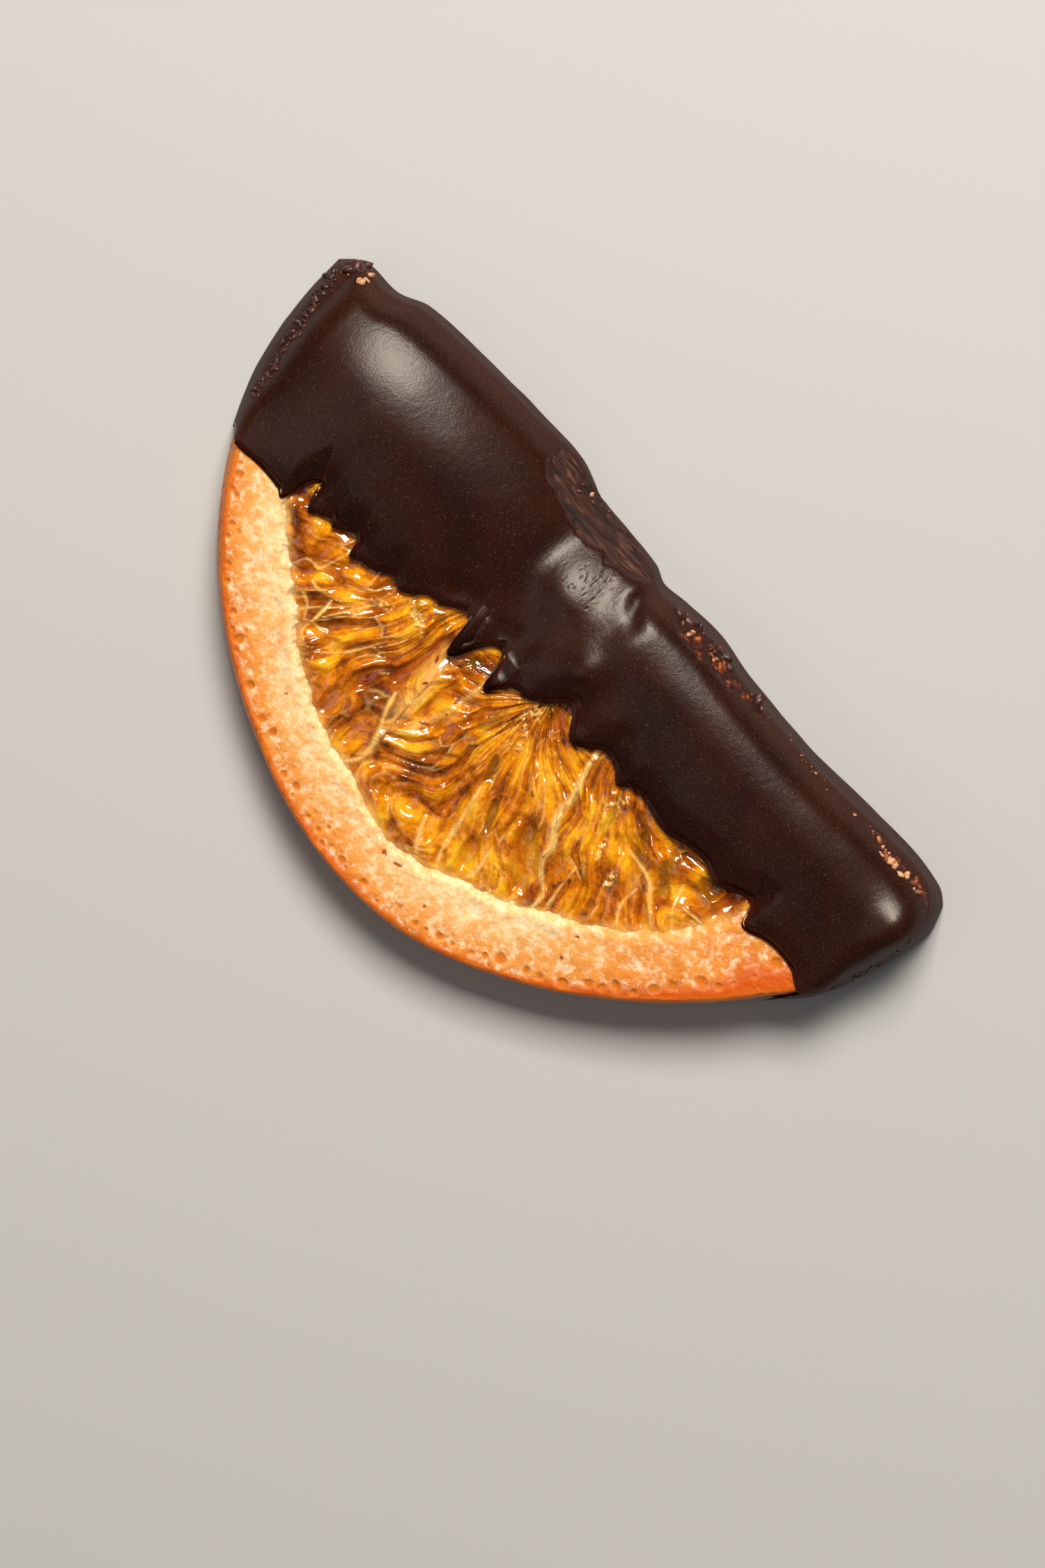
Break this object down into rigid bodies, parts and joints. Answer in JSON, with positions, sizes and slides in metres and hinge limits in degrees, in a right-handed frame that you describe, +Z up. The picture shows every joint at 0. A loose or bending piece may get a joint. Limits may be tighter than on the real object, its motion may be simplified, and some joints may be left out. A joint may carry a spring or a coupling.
{
  "type": "chocolate dipped orange slice",
  "caption": "Half an orange slice with its rind on, its straight cut side dipped in dark chocolate with a dripping edge, lying flat with the shown face up.",
  "frame": {"origin": "on the surface the slice lies on, under the middle of the whole thing", "axes": "+X along the dipped straight side, +Y out through the straight side, +Z up to the shown face"},
  "size_m": [0.073, 0.0384, 0.0099],
  "materials": {
    "orange": "moist",
    "chocolate": "satin"
  },
  "bodies": {
    "root": {"orange_slice": "orange", "chocolate_coat": "chocolate"}
  },
  "joints": []
}
